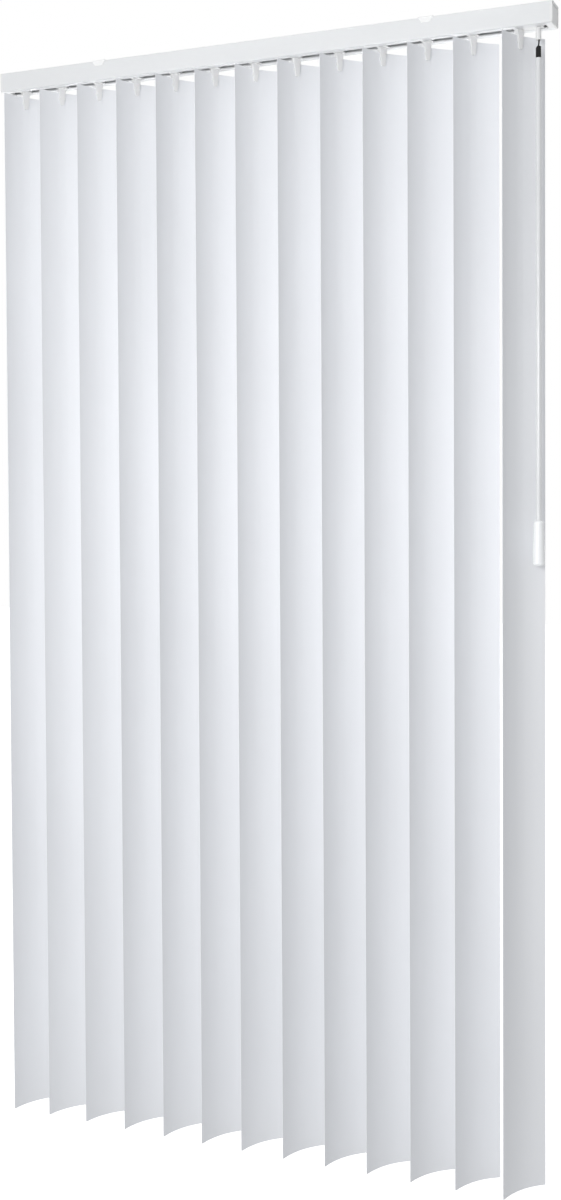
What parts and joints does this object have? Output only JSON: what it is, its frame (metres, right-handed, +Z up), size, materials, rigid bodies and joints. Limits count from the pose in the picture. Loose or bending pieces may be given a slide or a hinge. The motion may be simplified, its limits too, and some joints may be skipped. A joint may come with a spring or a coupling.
{
  "type": "vertical blind",
  "caption": "White vertical blind: slotted ceiling headrail with carriers on tracks, curved plastic vanes hung from turning stems, and a wand on the leading carrier.",
  "frame": {"origin": "middle of the pair of ceiling screw holes, on the ceiling face that the clips bear on", "axes": "+X along the headrail to the wand end, -Y towards the room, +Z up"},
  "size_m": [1.01, 0.0749, 1.8527],
  "materials": {
    "coated_rail": "white satin coating",
    "coated_clip": "white satin coating",
    "white_moulding": "white satin moulding",
    "screw_steel": "zinc plated",
    "rod_aluminium": "mill finish",
    "vane_plastic": "white satin",
    "stem_moulding": "white satin moulding",
    "black_plastic": "black gloss",
    "wand_white": "white gloss"
  },
  "bodies": {
    "headrail_body": {"headrail": "coated_rail", "ceiling_clips": "coated_clip", "end_cap_left": "white_moulding", "end_cap_right": "white_moulding", "end_cap_screws": "screw_steel", "carrier_01": "white_moulding"},
    "rod_body": {"tilt_rod": "rod_aluminium"},
    "carrier_body_02": {"carrier_02": "white_moulding"},
    "carrier_body_03": {"carrier_03": "white_moulding"},
    "carrier_body_04": {"carrier_04": "white_moulding"},
    "carrier_body_05": {"carrier_05": "white_moulding"},
    "carrier_body_06": {"carrier_06": "white_moulding"},
    "carrier_body_07": {"carrier_07": "white_moulding"},
    "carrier_body_08": {"carrier_08": "white_moulding"},
    "carrier_body_09": {"carrier_09": "white_moulding"},
    "carrier_body_10": {"carrier_10": "white_moulding"},
    "carrier_body_11": {"carrier_11": "white_moulding"},
    "carrier_body_12": {"carrier_12": "white_moulding"},
    "carrier_body_13": {"carrier_13": "white_moulding", "wand_drive_housing": "white_moulding"},
    "vane_body_01": {"vane_01": "vane_plastic", "stem_01": "stem_moulding"},
    "vane_body_02": {"vane_02": "vane_plastic", "stem_02": "stem_moulding"},
    "vane_body_03": {"vane_03": "vane_plastic", "stem_03": "stem_moulding"},
    "vane_body_04": {"vane_04": "vane_plastic", "stem_04": "stem_moulding"},
    "vane_body_05": {"vane_05": "vane_plastic", "stem_05": "stem_moulding"},
    "vane_body_06": {"vane_06": "vane_plastic", "stem_06": "stem_moulding"},
    "vane_body_07": {"vane_07": "vane_plastic", "stem_07": "stem_moulding"},
    "vane_body_08": {"vane_08": "vane_plastic", "stem_08": "stem_moulding"},
    "vane_body_09": {"vane_09": "vane_plastic", "stem_09": "stem_moulding"},
    "vane_body_10": {"vane_10": "vane_plastic", "stem_10": "stem_moulding"},
    "vane_body_11": {"vane_11": "vane_plastic", "stem_11": "stem_moulding"},
    "vane_body_12": {"vane_12": "vane_plastic", "stem_12": "stem_moulding"},
    "vane_body_13": {"vane_13": "vane_plastic", "stem_13": "stem_moulding"},
    "spindle_body": {"wand_spindle": "stem_moulding"},
    "wand_body": {"wand_hook": "black_plastic", "wand_tube": "wand_white", "wand_grip": "wand_white"}
  },
  "joints": [
    {"name": "traverse", "type": "slide", "parent": "headrail_body", "child": "carrier_body_13", "axis": [-1, 0, 0], "range_m": [0, 0.624]},
    {"name": "carrier_slide_12", "type": "slide", "parent": "headrail_body", "child": "carrier_body_12", "axis": [-1, 0, 0], "range_m": [0, 0.572]},
    {"name": "carrier_slide_11", "type": "slide", "parent": "headrail_body", "child": "carrier_body_11", "axis": [-1, 0, 0], "range_m": [0, 0.52]},
    {"name": "carrier_slide_10", "type": "slide", "parent": "headrail_body", "child": "carrier_body_10", "axis": [-1, 0, 0], "range_m": [0, 0.468]},
    {"name": "carrier_slide_09", "type": "slide", "parent": "headrail_body", "child": "carrier_body_09", "axis": [-1, 0, 0], "range_m": [0, 0.416]},
    {"name": "carrier_slide_08", "type": "slide", "parent": "headrail_body", "child": "carrier_body_08", "axis": [-1, 0, 0], "range_m": [0, 0.364]},
    {"name": "carrier_slide_07", "type": "slide", "parent": "headrail_body", "child": "carrier_body_07", "axis": [-1, 0, 0], "range_m": [0, 0.312]},
    {"name": "carrier_slide_06", "type": "slide", "parent": "headrail_body", "child": "carrier_body_06", "axis": [-1, 0, 0], "range_m": [0, 0.26]},
    {"name": "carrier_slide_05", "type": "slide", "parent": "headrail_body", "child": "carrier_body_05", "axis": [-1, 0, 0], "range_m": [0, 0.208]},
    {"name": "carrier_slide_04", "type": "slide", "parent": "headrail_body", "child": "carrier_body_04", "axis": [-1, 0, 0], "range_m": [0, 0.156]},
    {"name": "carrier_slide_03", "type": "slide", "parent": "headrail_body", "child": "carrier_body_03", "axis": [-1, 0, 0], "range_m": [0, 0.104]},
    {"name": "carrier_slide_02", "type": "slide", "parent": "headrail_body", "child": "carrier_body_02", "axis": [-1, 0, 0], "range_m": [0, 0.052]},
    {"name": "vane_tilt", "type": "hinge", "parent": "carrier_body_13", "child": "vane_body_13", "pos_m": [0.448, 0, -0.0272], "axis": [0, 0, 1], "range_deg": [-25, 90]},
    {"name": "vane_tilt_12", "type": "hinge", "parent": "carrier_body_12", "child": "vane_body_12", "pos_m": [0.372, 0, -0.0272], "axis": [0, 0, 1], "range_deg": [-25, 90]},
    {"name": "vane_tilt_11", "type": "hinge", "parent": "carrier_body_11", "child": "vane_body_11", "pos_m": [0.296, 0, -0.0272], "axis": [0, 0, 1], "range_deg": [-25, 90]},
    {"name": "vane_tilt_10", "type": "hinge", "parent": "carrier_body_10", "child": "vane_body_10", "pos_m": [0.22, 0, -0.0272], "axis": [0, 0, 1], "range_deg": [-25, 90]},
    {"name": "vane_tilt_09", "type": "hinge", "parent": "carrier_body_09", "child": "vane_body_09", "pos_m": [0.144, 0, -0.0272], "axis": [0, 0, 1], "range_deg": [-25, 90]},
    {"name": "vane_tilt_08", "type": "hinge", "parent": "carrier_body_08", "child": "vane_body_08", "pos_m": [0.068, 0, -0.0272], "axis": [0, 0, 1], "range_deg": [-25, 90]},
    {"name": "vane_tilt_07", "type": "hinge", "parent": "carrier_body_07", "child": "vane_body_07", "pos_m": [-0.008, 0, -0.0272], "axis": [0, 0, 1], "range_deg": [-25, 90]},
    {"name": "vane_tilt_06", "type": "hinge", "parent": "carrier_body_06", "child": "vane_body_06", "pos_m": [-0.084, 0, -0.0272], "axis": [0, 0, 1], "range_deg": [-25, 90]},
    {"name": "vane_tilt_05", "type": "hinge", "parent": "carrier_body_05", "child": "vane_body_05", "pos_m": [-0.16, 0, -0.0272], "axis": [0, 0, 1], "range_deg": [-25, 90]},
    {"name": "vane_tilt_04", "type": "hinge", "parent": "carrier_body_04", "child": "vane_body_04", "pos_m": [-0.236, 0, -0.0272], "axis": [0, 0, 1], "range_deg": [-25, 90]},
    {"name": "vane_tilt_03", "type": "hinge", "parent": "carrier_body_03", "child": "vane_body_03", "pos_m": [-0.312, 0, -0.0272], "axis": [0, 0, 1], "range_deg": [-25, 90]},
    {"name": "vane_tilt_02", "type": "hinge", "parent": "carrier_body_02", "child": "vane_body_02", "pos_m": [-0.388, 0, -0.0272], "axis": [0, 0, 1], "range_deg": [-25, 90]},
    {"name": "vane_tilt_01", "type": "hinge", "parent": "headrail_body", "child": "vane_body_01", "pos_m": [-0.464, 0, -0.0272], "axis": [0, 0, 1], "range_deg": [-25, 90]},
    {"name": "rod_turn", "type": "hinge", "parent": "headrail_body", "child": "rod_body", "pos_m": [0, 0.0095, -0.0172], "axis": [1, 0, 0], "range_deg": [-100, 360]},
    {"name": "wand_turn", "type": "hinge", "parent": "carrier_body_13", "child": "spindle_body", "pos_m": [0.478, -0.001, -0.0272], "axis": [0, 0, 1], "range_deg": [-100, 360]},
    {"name": "wand_swing", "type": "hinge", "parent": "spindle_body", "child": "wand_body", "pos_m": [0.478, -0.001, -0.0507], "axis": [0, -1, 0], "range_deg": [0, 60]}
  ],
  "couplings": [
    {"joint": "carrier_slide_12", "follows": "traverse", "ratio": 0.91667},
    {"joint": "carrier_slide_11", "follows": "traverse", "ratio": 0.83333},
    {"joint": "carrier_slide_10", "follows": "traverse", "ratio": 0.75},
    {"joint": "carrier_slide_09", "follows": "traverse", "ratio": 0.66667},
    {"joint": "carrier_slide_08", "follows": "traverse", "ratio": 0.58333},
    {"joint": "carrier_slide_07", "follows": "traverse", "ratio": 0.5},
    {"joint": "carrier_slide_06", "follows": "traverse", "ratio": 0.41667},
    {"joint": "carrier_slide_05", "follows": "traverse", "ratio": 0.33333},
    {"joint": "carrier_slide_04", "follows": "traverse", "ratio": 0.25},
    {"joint": "carrier_slide_03", "follows": "traverse", "ratio": 0.16667},
    {"joint": "carrier_slide_02", "follows": "traverse", "ratio": 0.083333},
    {"joint": "vane_tilt_12", "follows": "vane_tilt", "ratio": 1},
    {"joint": "vane_tilt_11", "follows": "vane_tilt", "ratio": 1},
    {"joint": "vane_tilt_10", "follows": "vane_tilt", "ratio": 1},
    {"joint": "vane_tilt_09", "follows": "vane_tilt", "ratio": 1},
    {"joint": "vane_tilt_08", "follows": "vane_tilt", "ratio": 1},
    {"joint": "vane_tilt_07", "follows": "vane_tilt", "ratio": 1},
    {"joint": "vane_tilt_06", "follows": "vane_tilt", "ratio": 1},
    {"joint": "vane_tilt_05", "follows": "vane_tilt", "ratio": 1},
    {"joint": "vane_tilt_04", "follows": "vane_tilt", "ratio": 1},
    {"joint": "vane_tilt_03", "follows": "vane_tilt", "ratio": 1},
    {"joint": "vane_tilt_02", "follows": "vane_tilt", "ratio": 1},
    {"joint": "vane_tilt_01", "follows": "vane_tilt", "ratio": 1},
    {"joint": "rod_turn", "follows": "vane_tilt", "ratio": 4},
    {"joint": "wand_turn", "follows": "vane_tilt", "ratio": 4}
  ]
}
